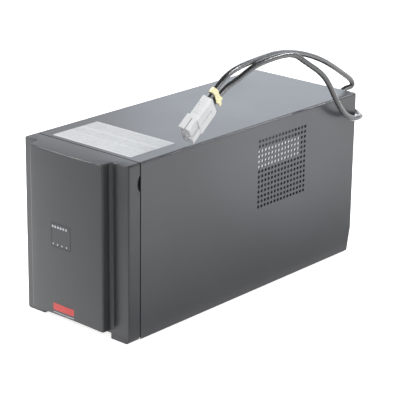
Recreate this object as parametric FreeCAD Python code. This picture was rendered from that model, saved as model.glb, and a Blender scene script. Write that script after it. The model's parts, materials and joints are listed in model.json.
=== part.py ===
"""External battery pack: a folded steel cabinet with a moulded front bezel, two sealed
battery cartridges and a pair of leads that end in a genderless connector.

Frame: X to the right seen from the front, the front faces -Y, Z up. The origin is under
the middle of the cabinet, on the surface that the foot pads stand on. Sizes are in mm.
"""
import FreeCAD, Part
import math
import os

V = FreeCAD.Vector
X_AXIS, Y_AXIS, Z_AXIS = V(1, 0, 0), V(0, 1, 0), V(0, 0, 1)

# ---- cabinet ----
CELL_SIDE_ROOM = 3.5    # between a battery cap and the pan's side flange
WIRING_ROOM = 18.9      # between the battery caps and the cover
FUSE_ROOM = 29.7        # between the rear blocks and the rear wall
WALL_SETBACK = 1.0      # front wall behind the cover's front edge
BEZEL_D = 32.0          # bezel depth at the middle of its bow
REAR_PROUD = 2.2        # how far the rear screw heads stand out
FOOT_H = 2.0            # foot pads below the floor pan
SEAM_GAP = 1.6          # shadow gap between bezel and cover
COVER_T = 1.0           # cover sheet
PAN_T = 1.2             # floor pan, door and bracket sheet
CLEAR = 0.3             # running and nesting clearance
COVER_BEND = 5.0        # outside bend radius of the cover
PAN_BEND = 2.4          # outside bend radius of the pan
LIP = 10.0              # inward lip of the cover round the rear
SLANT_H = 32.0          # height of the slanted foot of the rear wall
SLANT_D = 6.0           # how far that foot leans in
FLANGE = 14.0           # upturned and returned flanges of the pan

# ---- side vent ----
VENT_COLS, VENT_ROWS = 15, 14
VENT_PITCH_Y, VENT_PITCH_Z = 6.4, 6.5
VENT_D = 4.2
VENT_FROM_REAR = 105.0  # last column in front of the rear
VENT_BELOW_TOP = 22.4   # highest row under the top

# ---- bezel ----
BEZEL_WALL = 2.6
WING_W = 24.0           # width of each wing beside the raised panel
BOW = 3.0               # how far the panel's middle stands out of its edges
WING_D = 18.0           # depth of the wings beside the panel
WING_EDGE_R = 3.0       # outer front corner of a wing
COVE_R = 8.0            # hollow between panel and wing
PANEL_EDGE_R = 2.0
PANEL_BOTTOM = 9.5      # underside of the raised panel above the cabinet's underside
ARCH_H, BEZEL_FOOT_W = 7.0, 29.0
BEZEL_FOOT_R = 8.0      # lower outer corners of the wings
NOTCH_BELOW_TOP, NOTCH_L, NOTCH_D = 24.5, 19.6, 4.4
EDGE_R = 1.6            # softened outer edges of the bezel
STUD_INSET, STUD_LOW, STUD_BELOW_TOP = 15.0, 5.2, 10.0
STUD_D, STUD_HEAD_D, STUD_L = 3.6, 5.4, 9.0
BOSS_D = 8.4
RIB_T, RIB_H, RIB_INSET, RIB_COUNT = 1.6, 3.0, 15.0, 5

# ---- battery door ----
DOOR_SIDE_ROOM = 1.0    # opening beside a battery cap
DOOR_OVER_CAP = 1.4     # opening above a battery cap
DOOR_CORNER = 6.0
DOOR_LAP = 1.5          # lap of the door round its opening
DOOR_EDGE = 6.0         # folded sides of the door
DOOR_TAB_W, DOOR_TAB_H = 20.0, 13.0
DOOR_TOE_INSET, DOOR_TOE_H = 12.0, 5.0
THUMB_D, THUMB_H, THUMB_SHANK_D, THUMB_SHANK_L = 10.0, 7.0, 3.9, 8.0
THUMB_INSET = 38.0      # from the side of the opening

# ---- batteries ----
RAIL_H, RAIL_W, RAIL_FOOT = 10.5, 24.0, 8.0
CELL_W, CELL_L, CELL_H = 77.0, 181.0, 167.0
CELL_LID_H = 14.0
CELL_GAP = 0.6          # between the two blocks of a pair
PAIR_GAP = 5.0          # foam between the two pairs
FIRST_CELL = 4.0        # from the front wall to the first block
TERMINAL_W, TERMINAL_L, TERMINAL_H = 14.0, 12.0, 5.0
TERMINAL_INSET = 16.0
TERMINAL_BOLT_D, TERMINAL_HEAD_D = 4.8, 8.0
CAP_WALL = 1.4
CAP_SKIRT = 20.0        # how far the cap reaches down over the blocks
CAP_ROOM = 16.0         # room for the terminals under the cap
LINK_T = 2.0
LEAD_HOLE_D = 10.0

# ---- rear bracket, fuse and inner leads ----
BRACKET_INSET, BRACKET_H, BRACKET_FOOT = 17.0, 120.0, 14.0
FUSE_W, FUSE_H, FUSE_BASE_T = 72.0, 22.0, 6.0
FUSE_POST_D, FUSE_POST_L, FUSE_POST_SPAN = 5.0, 11.0, 48.0
FUSE_T, FUSE_LUG_T, FUSE_NUT_H, FUSE_NUT_W = 2.5, 1.5, 4.0, 9.0
FUSE_X, FUSE_Z = -10.0, 100.0
FUSE_LUG_UP = 14.0      # from the post to the end of the lug's barrel
INNER_LEAD_D = 5.6
INNER_LEAD_UP = 5.9     # level of the inner leads over the caps
LUG_REACH = 13.0        # from the bolt to the lead on a battery lug

# ---- rear wall fittings ----
RELIEF_FROM_SIDE, RELIEF_BELOW_TOP, RELIEF_PITCH = 39.0, 17.0, 18.0
RELIEF_FLANGE_D, RELIEF_FLANGE_T = 13.4, 2.4
RELIEF_NECK_D, RELIEF_NOSE_D, RELIEF_NOSE = 11.0, 8.6, 9.0
RELIEF_INSIDE = 6.0
SCREW_D, SCREW_HEAD_D, SCREW_L = 3.4, 7.0, 6.0
SLOT_W, SLOT_L, SLOT_PITCH, SLOT_COUNT = 3.5, 42.0, 8.0, 6
SLOT_Z = 66.0

# ---- leads and connector ----
LEAD_D = 7.0
HOUSING_W, HOUSING_T, HOUSING_L = 36.6, 12.9, 47.5
HOOD_T = 3.0            # how far the hood stands out of the body's broad side
HOUSING_BODY_L = 31.5
SHOULDER = 4.0
CONTACT_PITCH = 20.2
CONTACT_T = 5.0         # height of the contacts in the housing
GRIP_RIBS, GRIP_PITCH = 6, 3.6
HOUSING_HOLE_D = 3.2
LEAD_IN = 4.0           # how far each lead reaches into the housing
TIE_W, TIE_T, TIE_BACK, TIE_TAIL = 7.0, 1.1, 2.0, 10.0
CONNECTOR_FROM = V(4.6, -305.5, 60.5)       # housing's rear upper corner, from the lead corner
CONNECTOR_NOSE = V(-0.0811, -0.7314, -0.6771)
CONNECTOR_WIDTH = V(-0.378, 0.6511, -0.6581)

# ---- derived sizes ----
CAP_HALF = CELL_W + CELL_GAP / 2 + CLEAR + CAP_WALL
CAP_TOP = PAN_T + RAIL_H + CELL_H + CAP_ROOM + CAP_WALL     # above the cabinet's underside
BODY_W = 2 * (CAP_HALF + CELL_SIDE_ROOM + PAN_T + CLEAR + COVER_T)
BODY_H = CAP_TOP + WIRING_ROOM + COVER_T
BODY_D = (SEAM_GAP + WALL_SETBACK + PAN_T + FIRST_CELL + 2 * CELL_L + PAIR_GAP + FUSE_ROOM
          + PAN_T + CLEAR + COVER_T)
DOOR_HOLE_W = 2 * (CAP_HALF + DOOR_SIDE_ROOM)
DOOR_HOLE_SILL = PAN_T + RAIL_H - CLEAR
DOOR_HOLE_H = CAP_TOP + DOOR_OVER_CAP - DOOR_HOLE_SILL

# ---- derived planes ----
TOTAL_D = BEZEL_D + BODY_D + REAR_PROUD
FRONT_Y = -TOTAL_D / 2
SEAM_Y = FRONT_Y + BEZEL_D
REAR_Y = SEAM_Y + BODY_D
HALF_W = BODY_W / 2
PANEL_HALF = HALF_W - WING_W
BASE_Z = FOOT_H
TOP_Z = BASE_Z + BODY_H
COVER_FRONT_Y = SEAM_Y + SEAM_GAP
WALL_FRONT_Y = COVER_FRONT_Y + WALL_SETBACK # front wall, just inside the cover
WALL_REAR_Y = REAR_Y - COVER_T - CLEAR      # outer face of the rear wall
PAN_HALF_W = HALF_W - COVER_T - CLEAR
PAN_TOP_Z = TOP_Z - COVER_T - CLEAR
FLOOR_Z = BASE_Z + PAN_T                    # upper side of the floor
STUD_X = HALF_W - STUD_INSET
THUMB_X = DOOR_HOLE_W / 2 - THUMB_INSET
RAIL_X = (CELL_GAP + CELL_W) / 2            # a rail under the middle of each block
BRACKET_HALF = HALF_W - BRACKET_INSET
RELIEF_X = HALF_W - RELIEF_FROM_SIDE
LEAD_CORNER = V(HALF_W, REAR_Y, TOP_Z)      # upper right rear corner, near the leads' exits
CONNECTOR_AT = LEAD_CORNER + CONNECTOR_FROM

os.makedirs("parts", exist_ok=True)
made = {}


def save(name, shape):
    """Write one node, as a single solid or a group of separate solids."""
    if shape.ShapeType == "Compound" and len(shape.Solids) == 1:
        shape = shape.Solids[0]
    made[name] = shape
    shape.exportStep("parts/" + name + ".step")


def box(x0, x1, y0, y1, z0, z1):
    return Part.makeBox(x1 - x0, y1 - y0, z1 - z0, V(x0, y0, z0))


def rod(radius, start, direction, length):
    return Part.makeCylinder(radius, length, start, direction)


def prism(points, sweep):
    """Extrude a closed outline of points."""
    return Part.Face(Part.makePolygon(points + [points[0]])).extrude(sweep)


def round_edges(shape, radius, wanted):
    edges = [edge for edge in shape.Edges if wanted(edge)]
    return shape.makeFillet(radius, edges)


def along(axis):
    """A test for straight edges that run along an axis."""
    def test(edge):
        if not isinstance(edge.Curve, Part.Line):
            return False
        return abs(abs(edge.Curve.Direction.dot(axis)) - 1) < 1e-6
    return test


def rounded_box(x0, x1, y0, y1, z0, z1, radius, axis):
    return round_edges(box(x0, x1, y0, y1, z0, z1), radius, along(axis))


# ---------------------------------------------------------------- cabinet

def make_cover():
    """One sheet folded down over both sides, with a lip round the rear."""
    outer = box(-HALF_W, HALF_W, COVER_FRONT_Y, REAR_Y, BASE_Z, TOP_Z)
    upper = lambda edge: along(Y_AXIS)(edge) and edge.CenterOfMass.z > TOP_Z - 0.1
    outer = round_edges(outer, COVER_BEND, upper)
    inner = box(-HALF_W + COVER_T, HALF_W - COVER_T, COVER_FRONT_Y - 1, REAR_Y - COVER_T,
                BASE_Z - 1, TOP_Z - COVER_T)
    inner_upper = lambda edge: along(Y_AXIS)(edge) and edge.CenterOfMass.z > TOP_Z - COVER_T - 0.1
    inner = round_edges(inner, COVER_BEND - COVER_T, inner_upper)
    cover = outer.cut(inner)
    rear_hole = box(-HALF_W + LIP, HALF_W - LIP, REAR_Y - 2 * COVER_T, REAR_Y + 1,
                    BASE_Z - 1, TOP_Z - LIP)
    cover = cover.cut(rear_hole)
    slant = prism([V(-HALF_W - 1, REAR_Y - SLANT_D, BASE_Z - 0.01),
                   V(-HALF_W - 1, REAR_Y + 1, BASE_Z - 0.01),
                   V(-HALF_W - 1, REAR_Y + 1, BASE_Z + SLANT_H),
                   V(-HALF_W - 1, REAR_Y, BASE_Z + SLANT_H)], V(BODY_W + 2, 0, 0))
    lip_foot = box(-HALF_W + COVER_T, HALF_W - COVER_T, REAR_Y - 2 * COVER_T, REAR_Y + 1,
                   BASE_Z - 1, BASE_Z + SLANT_H + COVER_T)
    cover = cover.cut(slant.fuse(lip_foot))
    cover = cover.cut(vent_punch(VENT_D / 2))
    return cover.cut(Part.makeCompound([rod(SCREW_D / 2 + 0.2, V(x, REAR_Y - 2 * COVER_T, z), Y_AXIS, 6)
                                        for x, z in cover_screw_places()]))


def vent_punch(radius):
    """All the round holes of the side vent, as cylinders through the right-hand wall."""
    holes = []
    for column in range(VENT_COLS):
        for row in range(VENT_ROWS):
            y = REAR_Y - VENT_FROM_REAR - column * VENT_PITCH_Y
            z = TOP_Z - VENT_BELOW_TOP - row * VENT_PITCH_Z
            holes.append(rod(radius, V(HALF_W - 2 * COVER_T, y, z), X_AXIS, 3 * COVER_T))
    return Part.makeCompound(holes)


def cover_screw_places():
    """The screws sit in the middle of the lip at the rear."""
    side_x = HALF_W - LIP / 2 - COVER_T / 2
    top_z = TOP_Z - LIP / 2 - COVER_T / 2
    return [(-side_x, BASE_Z + 2 * SLANT_H), (side_x, BASE_Z + 2 * SLANT_H),
            (-side_x / 2, top_z), (side_x / 2, top_z)]


def make_pan():
    """Floor, front wall and rear wall folded from one sheet, with side flanges."""
    front, rear = WALL_FRONT_Y, WALL_REAR_Y
    top = PAN_TOP_Z
    profile = [V(0, front + FLANGE, top), V(0, front, top), V(0, front, BASE_Z),
               V(0, rear - SLANT_D, BASE_Z), V(0, rear, BASE_Z + SLANT_H), V(0, rear, top),
               V(0, rear - FLANGE, top)]
    wall_half = PAN_HALF_W - CLEAR - PAN_T
    sheet = folded_sheet(profile, PAN_T, PAN_BEND, wall_half)
    envelope = box(-wall_half, wall_half, SEAM_Y, REAR_Y, BASE_Z, top)
    upper = lambda edge: along(Y_AXIS)(edge) and edge.CenterOfMass.z > top - 0.1
    sheet = sheet.common(round_edges(envelope, COVER_BEND, upper))
    flange_y0, flange_y1 = front + PAN_BEND + 1, rear - SLANT_D - PAN_BEND - 2
    tray_outer = box(-PAN_HALF_W, PAN_HALF_W, flange_y0, flange_y1, BASE_Z, BASE_Z + FLANGE)
    lower = lambda edge: along(Y_AXIS)(edge) and edge.CenterOfMass.z < BASE_Z + 0.1
    tray_outer = round_edges(tray_outer, PAN_BEND, lower)
    tray_inner = box(-PAN_HALF_W + PAN_T, PAN_HALF_W - PAN_T, flange_y0 - 1, flange_y1 + 1,
                     FLOOR_Z, BASE_Z + FLANGE + 1)
    inner_lower = lambda edge: along(Y_AXIS)(edge) and edge.CenterOfMass.z < FLOOR_Z + 0.1
    tray_inner = round_edges(tray_inner, PAN_BEND - PAN_T, inner_lower)
    pan = sheet.fuse(tray_outer.cut(tray_inner)).removeSplitter()
    sill = BASE_Z + DOOR_HOLE_SILL
    pan = pan.cut(rounded_box(-DOOR_HOLE_W / 2, DOOR_HOLE_W / 2, front - 2, front + PAN_T + 2,
                              sill, sill + DOOR_HOLE_H, DOOR_CORNER, Y_AXIS))
    cuts = [rod(RELIEF_NECK_D / 2 + 0.2, V(RELIEF_X, REAR_Y - 8, z), Y_AXIS, 12)
            for z in relief_heights()]
    cuts += [rod(SCREW_D / 2 + 0.2, V(x, REAR_Y - 8, z), Y_AXIS, 12)
             for x, z in cover_screw_places()]
    for index in range(SLOT_COUNT):
        z = BASE_Z + SLOT_Z + index * SLOT_PITCH
        slot = rounded_box(-SLOT_L / 2, SLOT_L / 2, REAR_Y - 8, REAR_Y + 4,
                           z - SLOT_W / 2, z + SLOT_W / 2, SLOT_W / 2 - 0.05, Y_AXIS)
        cuts.append(slot)
    cuts += [rod(THUMB_SHANK_D / 2 + 0.2, V(x, WALL_FRONT_Y - 4, thumb_z()), Y_AXIS, 12)
             for x in (-THUMB_X, THUMB_X)]
    cuts += [rod(STUD_D / 2 + 0.02, V(x, WALL_FRONT_Y - 4, z), Y_AXIS, 12) for x, z in stud_places()]
    return pan.cut(Part.makeCompound(cuts))


def folded_sheet(profile, thickness, bend, half_width):
    """A sheet of one thickness that follows an outline in the YZ plane, inside its corners."""
    path = rounded_path(profile, [bend] * (len(profile) - 2))
    ribbon = path.makeOffset2D(thickness, 0, True, True)
    area = ribbon if ribbon.ShapeType == "Face" else ribbon.Faces[0]
    inside = V(0, 0, BASE_Z + BODY_H / 2)
    if not area.BoundBox.isInside(inside) or area.BoundBox.YMin < min(p.y for p in profile) - 0.01:
        ribbon = path.makeOffset2D(-thickness, 0, True, True)
        area = ribbon if ribbon.ShapeType == "Face" else ribbon.Faces[0]
    area.translate(V(-half_width, 0, 0))
    return area.extrude(V(2 * half_width, 0, 0))


def rounded_path(points, radii):
    """Straight runs joined by tangent arcs, as one wire."""
    edges = []
    start = points[0]
    for index, radius in enumerate(radii):
        before, corner, after = points[index], points[index + 1], points[index + 2]
        arrive = (corner - before).normalize()
        leave = (after - corner).normalize()
        turn = arrive.getAngle(leave)
        setback = radius * math.tan(turn / 2)
        arc_start = corner - arrive * setback
        arc_end = corner + leave * setback
        inward = (leave - arrive).normalize()
        middle = corner + inward * (radius / math.cos(turn / 2) - radius)
        edges.append(Part.LineSegment(start, arc_start).toShape())
        edges.append(Part.Arc(arc_start, middle, arc_end).toShape())
        start = arc_end
    edges.append(Part.LineSegment(start, points[-1]).toShape())
    return Part.Wire(edges)


def thumb_z():
    return BASE_Z + DOOR_HOLE_SILL + DOOR_HOLE_H + DOOR_TAB_H / 2


def stud_places():
    return [(x, z) for x in (-STUD_X, STUD_X) for z in (BASE_Z + STUD_LOW, TOP_Z - STUD_BELOW_TOP)]


def relief_heights():
    high = TOP_Z - RELIEF_BELOW_TOP
    return [high, high - RELIEF_PITCH]


def make_rails():
    """Two hat-section rails on the floor that the cartridges slide in on."""
    y0, y1 = first_cell_y(), last_cell_y()
    rails = []
    for x in (-RAIL_X, RAIL_X):
        hat = box(x - RAIL_W / 2, x + RAIL_W / 2, y0, y1, FLOOR_Z, FLOOR_Z + RAIL_H)
        foot = box(x - RAIL_W / 2 - RAIL_FOOT, x + RAIL_W / 2 + RAIL_FOOT, y0, y1,
                   FLOOR_Z, FLOOR_Z + PAN_T)
        inside = box(x - RAIL_W / 2 + PAN_T, x + RAIL_W / 2 - PAN_T, y0 - 1, y1 + 1,
                     FLOOR_Z - 1, FLOOR_Z + RAIL_H - PAN_T)
        rails.append(hat.fuse(foot).cut(inside).removeSplitter())
    return Part.makeCompound(rails)


def make_foot_pads():
    """Four round rubber pads under the floor."""
    pad_r, inset = 8.0, 26.0
    pads = []
    for x in (-HALF_W + inset, HALF_W - inset):
        for y in (SEAM_Y + inset, REAR_Y - inset):
            pad = rod(pad_r, V(x, y, 0), Z_AXIS, FOOT_H)
            lower = lambda edge: edge.CenterOfMass.z < 0.01 and len(edge.Vertexes) == 1
            pads.append(round_edges(pad, 0.6, lower))
    return Part.makeCompound(pads)


# ---------------------------------------------------------------- bezel

def bezel_section(inset, rear_y, cove):
    """Plan outline of the bezel, moved in by one wall for its hollow."""
    side_x = HALF_W - inset
    wing_y = SEAM_Y - WING_D + inset
    cove_x = PANEL_HALF - inset
    edge_y = FRONT_Y + BOW + inset
    z = BASE_Z - 1
    right = [V(side_x, rear_y, z), V(side_x, wing_y, z), V(cove_x, wing_y, z), V(cove_x, edge_y, z)]
    radii = [max(WING_EDGE_R - inset, 0.4), cove]
    right_edges = rounded_path(right, radii).Edges
    left_edges = [edge.mirror(V(0, 0, 0), X_AXIS) for edge in right_edges]
    bow = Part.Arc(V(cove_x, edge_y, z), V(0, FRONT_Y + inset, z), V(-cove_x, edge_y, z)).toShape()
    back = Part.LineSegment(V(side_x, rear_y, z), V(-side_x, rear_y, z)).toShape()
    wire = Part.Wire(Part.__sortEdges__(right_edges + left_edges + [bow, back]))
    return Part.Face(wire)


def bezel_front_view():
    """Front silhouette: rounded corners, and the arch between the two feet."""
    y0 = FRONT_Y - 1
    depth = BEZEL_D + 2
    plate = box(-HALF_W, HALF_W, y0, y0 + depth, BASE_Z, TOP_Z)
    upper = lambda edge: along(Y_AXIS)(edge) and edge.CenterOfMass.z > TOP_Z - 0.1
    lower = lambda edge: along(Y_AXIS)(edge) and edge.CenterOfMass.z < BASE_Z + 0.1
    plate = round_edges(plate, COVER_BEND, upper)
    plate = round_edges(plate, BEZEL_FOOT_R, lower)
    return plate.cut(bezel_underside(0))


def bezel_underside(wall):
    """The arch between the feet and the space under the raised panel, grown by a wall."""
    y0 = FRONT_Y - 1
    arch_half = HALF_W - BEZEL_FOOT_W + wall
    arch = box(-arch_half, arch_half, y0, SEAM_Y + 1, BASE_Z - 1,
               BASE_Z + ARCH_H + wall)
    under_panel = box(-HALF_W, HALF_W, y0, SEAM_Y - WING_D + wall, BASE_Z - 1,
                      BASE_Z + PANEL_BOTTOM + wall)
    return arch.fuse(under_panel)


def make_bezel():
    """Moulded front: bowed panel, coves, wings with feet, hollow behind, with bosses and ribs."""
    outer = bezel_section(0, SEAM_Y, COVE_R).extrude(V(0, 0, BODY_H + 2))
    panel_corner = lambda edge: (along(Z_AXIS)(edge) and abs(abs(edge.CenterOfMass.x) - PANEL_HALF) < 0.01
                                 and abs(edge.CenterOfMass.y - FRONT_Y - BOW) < 0.01)
    outer = round_edges(outer, PANEL_EDGE_R, panel_corner)
    outer = outer.common(bezel_front_view())
    top_front = lambda edge: (abs(edge.CenterOfMass.z - TOP_Z) < 0.01
                              and edge.BoundBox.ZLength < 0.01
                              and edge.BoundBox.YMin < SEAM_Y - 0.5
                              and not (along(Y_AXIS)(edge) and edge.BoundBox.YMax > SEAM_Y - 0.5))
    outer = round_edges(outer, EDGE_R, top_front)
    hollow_depth = BEZEL_D - BOW - WING_D
    inner_cove = min(COVE_R + BEZEL_WALL, 0.9 * hollow_depth)
    hollow = bezel_section(BEZEL_WALL, SEAM_Y + 1, inner_cove).extrude(V(0, 0, BODY_H + 2))
    hollow = hollow.common(box(-HALF_W, HALF_W, FRONT_Y, SEAM_Y + 1,
                               BASE_Z + BEZEL_WALL, TOP_Z - BEZEL_WALL))
    hollow = hollow.cut(bezel_underside(BEZEL_WALL))
    bezel = outer.cut(hollow)
    wing_inner_y = SEAM_Y - WING_D + BEZEL_WALL
    boss_end = WALL_FRONT_Y - CLEAR
    for x, z in stud_places():
        boss = rod(BOSS_D / 2, V(x, wing_inner_y - 1, z), Y_AXIS, boss_end - wing_inner_y + 1)
        bezel = bezel.fuse(boss)
    for index in range(RIB_COUNT):
        z = BASE_Z + BODY_H * (index + 1) / (RIB_COUNT + 1)
        panel_y = FRONT_Y + BEZEL_WALL
        rib = box(RIB_INSET - PANEL_HALF, PANEL_HALF - RIB_INSET, panel_y - 0.4, panel_y + BOW + RIB_H,
                  z - RIB_T / 2, z + RIB_T / 2)
        bezel = bezel.fuse(rib)
    bores = [rod(STUD_HEAD_D / 2 + CLEAR, V(x, wing_inner_y + 2, z), Y_AXIS, 30)
             for x, z in stud_places()]
    return bezel.cut(Part.makeCompound(bores + finger_notches())).removeSplitter()


def finger_notches():
    """Shallow half-oval finger notches in the rear edge of both sides."""
    radius = ((NOTCH_L / 2) ** 2 + NOTCH_D ** 2) / (2 * NOTCH_D)
    centre_y = SEAM_Y - NOTCH_D + radius
    depth = 2 * BEZEL_WALL
    z = TOP_Z - NOTCH_BELOW_TOP
    return [rod(radius, V(HALF_W - depth, centre_y, z), X_AXIS, 2 * depth),
            rod(radius, V(-HALF_W - depth, centre_y, z), X_AXIS, 2 * depth)]


def make_studs():
    """Ball studs riveted into the front wall, one in each bezel boss."""
    studs = []
    for x, z in stud_places():
        shank = rod(STUD_D / 2, V(x, WALL_FRONT_Y - STUD_L + STUD_HEAD_D / 2, z), Y_AXIS,
                    STUD_L - STUD_HEAD_D / 2 + PAN_T)
        ball = Part.makeSphere(STUD_HEAD_D / 2, V(x, WALL_FRONT_Y - STUD_L + STUD_HEAD_D / 2, z))
        rivet = rod(STUD_D / 2 + 0.8, V(x, WALL_FRONT_Y + PAN_T, z), Y_AXIS, 0.8)
        studs.append(shank.fuse(ball).fuse(rivet).removeSplitter())
    return Part.makeCompound(studs)


# ---------------------------------------------------------------- battery door

def make_door():
    """Sheet door over the battery opening, with folded sides, two tabs and a toe."""
    z0 = BASE_Z + DOOR_HOLE_SILL
    z1 = z0 + DOOR_HOLE_H
    y0, y1 = WALL_FRONT_Y - PAN_T, WALL_FRONT_Y
    half = DOOR_HOLE_W / 2 + DOOR_LAP
    door = box(-half, half, y0, y1, z0 - DOOR_LAP, z1 + DOOR_LAP)
    for x in (-THUMB_X, THUMB_X):
        tab = box(x - DOOR_TAB_W / 2, x + DOOR_TAB_W / 2, y0, y1, z1, z1 + DOOR_TAB_H)
        top = lambda edge: along(Y_AXIS)(edge) and edge.CenterOfMass.z > z1 + DOOR_TAB_H - 0.1
        door = door.fuse(round_edges(tab, 4.0, top))
    toe_half = STUD_X - DOOR_TOE_INSET
    door = door.fuse(box(-toe_half, toe_half, y0, y1, z0 - DOOR_TOE_H, z0))
    for side in (-1, 1):
        low_x, high_x = sorted((side * half, side * (half - PAN_T)))
        door = door.fuse(box(low_x, high_x, y1 - DOOR_EDGE - PAN_T, y1, z0, z1))
    grip_r = 9.0
    grip_z = z0 + 0.82 * DOOR_HOLE_H
    cuts = [rod(THUMB_SHANK_D / 2 + 0.2, V(x, y0 - 1, thumb_z()), Y_AXIS, 4) for x in (-THUMB_X, THUMB_X)]
    cuts.append(rod(grip_r, V(0, y0 - 1, grip_z), Y_AXIS, 4))
    return door.cut(Part.makeCompound(cuts)).removeSplitter()


def make_thumbscrews():
    """Slotted thumbscrews that hold the door to the front wall."""
    screws = []
    for x in (-THUMB_X, THUMB_X):
        face = WALL_FRONT_Y - PAN_T
        head = rod(THUMB_D / 2, V(x, face - THUMB_H, thumb_z()), Y_AXIS, THUMB_H)
        front = lambda edge: edge.CenterOfMass.y < face - THUMB_H + 0.01 and len(edge.Vertexes) == 1
        head = head.makeChamfer(0.8, [edge for edge in head.Edges if front(edge)])
        slot = box(x - THUMB_D, x + THUMB_D, face - THUMB_H - 1, face - THUMB_H + 1.5,
                   thumb_z() - 0.7, thumb_z() + 0.7)
        shank = rod(THUMB_SHANK_D / 2, V(x, face - 0.5, thumb_z()), Y_AXIS, THUMB_SHANK_L)
        screws.append(head.cut(slot).fuse(shank).removeSplitter())
    return Part.makeCompound(screws)


# ---------------------------------------------------------------- batteries

def first_cell_y():
    return WALL_FRONT_Y + PAN_T + FIRST_CELL


def last_cell_y():
    return first_cell_y() + 2 * CELL_L + PAIR_GAP


def cell_front(row):
    return first_cell_y() + row * (CELL_L + PAIR_GAP)


def cell_bottom():
    return FLOOR_Z + RAIL_H


def cell_x(side):
    """Left edge of the block on one side of the middle, -1 or 1."""
    return CELL_GAP / 2 if side > 0 else -CELL_GAP / 2 - CELL_W


def make_cell(side, row):
    """Sealed block: ribbed lid line, two terminal wells in the lid."""
    x0, y0, z0 = cell_x(side), cell_front(row), cell_bottom()
    block = rounded_box(x0, x0 + CELL_W, y0, y0 + CELL_L, z0, z0 + CELL_H, 2.5, Z_AXIS)
    groove_z = z0 + CELL_H - CELL_LID_H
    rim = box(x0 - 1, x0 + CELL_W + 1, y0 - 1, y0 + CELL_L + 1, groove_z, groove_z + 1.2)
    core = rounded_box(x0 + 0.6, x0 + CELL_W - 0.6, y0 + 0.6, y0 + CELL_L - 0.6, groove_z,
                       groove_z + 1.2, 2.0, Z_AXIS)
    block = block.cut(rim.cut(core))
    for x, y in terminal_places(side, row):
        well = box(x - TERMINAL_W / 2 - 2, x + TERMINAL_W / 2 + 2, y - TERMINAL_L / 2 - 2,
                   y + TERMINAL_L / 2 + 2, z0 + CELL_H - TERMINAL_H, z0 + CELL_H + 1)
        block = block.cut(well)
    return block


def terminal_places(side, row):
    """Positive and negative terminal of one block, at its rear end."""
    x0, y1 = cell_x(side), cell_front(row) + CELL_L
    return [(x0 + TERMINAL_INSET, y1 - TERMINAL_INSET),
            (x0 + CELL_W - TERMINAL_INSET, y1 - TERMINAL_INSET)]


def all_terminals():
    return [place for row in (0, 1) for side in (-1, 1) for place in terminal_places(side, row)]


def make_terminals():
    """Lead terminal blocks that stand in the wells, flush with the lid."""
    top = cell_bottom() + CELL_H
    blocks = []
    for x, y in all_terminals():
        blocks.append(box(x - TERMINAL_W / 2, x + TERMINAL_W / 2, y - TERMINAL_L / 2, y + TERMINAL_L / 2,
                          top - TERMINAL_H, top))
    bores = [rod(TERMINAL_BOLT_D / 2, V(x, y, top - TERMINAL_H + 1), Z_AXIS, TERMINAL_H) for x, y in all_terminals()]
    return Part.makeCompound([block.cut(bore) for block, bore in zip(blocks, bores)])


def make_links(row):
    """Copper bar that joins the two inner terminals of a pair in series."""
    top = cell_bottom() + CELL_H
    (_, _), (left_x, y) = terminal_places(-1, row)
    (right_x, _), (_, _) = terminal_places(1, row)
    half = TERMINAL_W / 2
    bar = rounded_box(left_x - half, right_x + half, y - TERMINAL_L / 2, y + TERMINAL_L / 2,
                      top, top + LINK_T, 3.0, Z_AXIS)
    holes = [rod(TERMINAL_BOLT_D / 2 + 0.2, V(x, y, top - 1), Z_AXIS, LINK_T + 2)
             for x in (left_x, right_x)]
    return bar.cut(Part.makeCompound(holes))


def make_terminal_bolts():
    """Hexagon bolts in all terminals, on the links or on lead lugs of the same thickness."""
    top = cell_bottom() + CELL_H + LINK_T
    bolts = []
    for x, y in all_terminals():
        corners = [V(x + TERMINAL_HEAD_D / 2 * math.cos(math.radians(60 * k)),
                     y + TERMINAL_HEAD_D / 2 * math.sin(math.radians(60 * k)), top) for k in range(6)]
        head = prism(corners, V(0, 0, 3.0))
        shank = rod(TERMINAL_BOLT_D / 2 - 0.1, V(x, y, top - LINK_T - TERMINAL_H + 1.5), Z_AXIS,
                    LINK_T + TERMINAL_H - 1)
        bolts.append(head.fuse(shank).removeSplitter())
    return Part.makeCompound(bolts)


def lug_places(row):
    """Outer terminals of one pair, left and right."""
    return [terminal_places(-1, row)[0], terminal_places(1, row)[1]]


def lead_start(side, row):
    """Where a lead leaves the lug of the left (-1) or right (1) outer terminal."""
    x, y = lug_places(row)[0 if side < 0 else 1]
    return V(x, y - LUG_REACH, cell_bottom() + CELL_H + LINK_T)


def make_lugs():
    """Flat lugs on the outer terminals of both pairs, where the inner leads start."""
    top = cell_bottom() + CELL_H
    half = TERMINAL_W / 2
    lugs = []
    for x, y in lug_places(0) + lug_places(1):
        lug = rounded_box(x - half, x + half, y - LUG_REACH - half + 1, y + TERMINAL_L / 2, top,
                          top + LINK_T, 3.0, Z_AXIS)
        lugs.append(lug.cut(rod(TERMINAL_BOLT_D / 2 + 0.2, V(x, y, top - 1), Z_AXIS, LINK_T + 2)))
    return Part.makeCompound(lugs)


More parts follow.
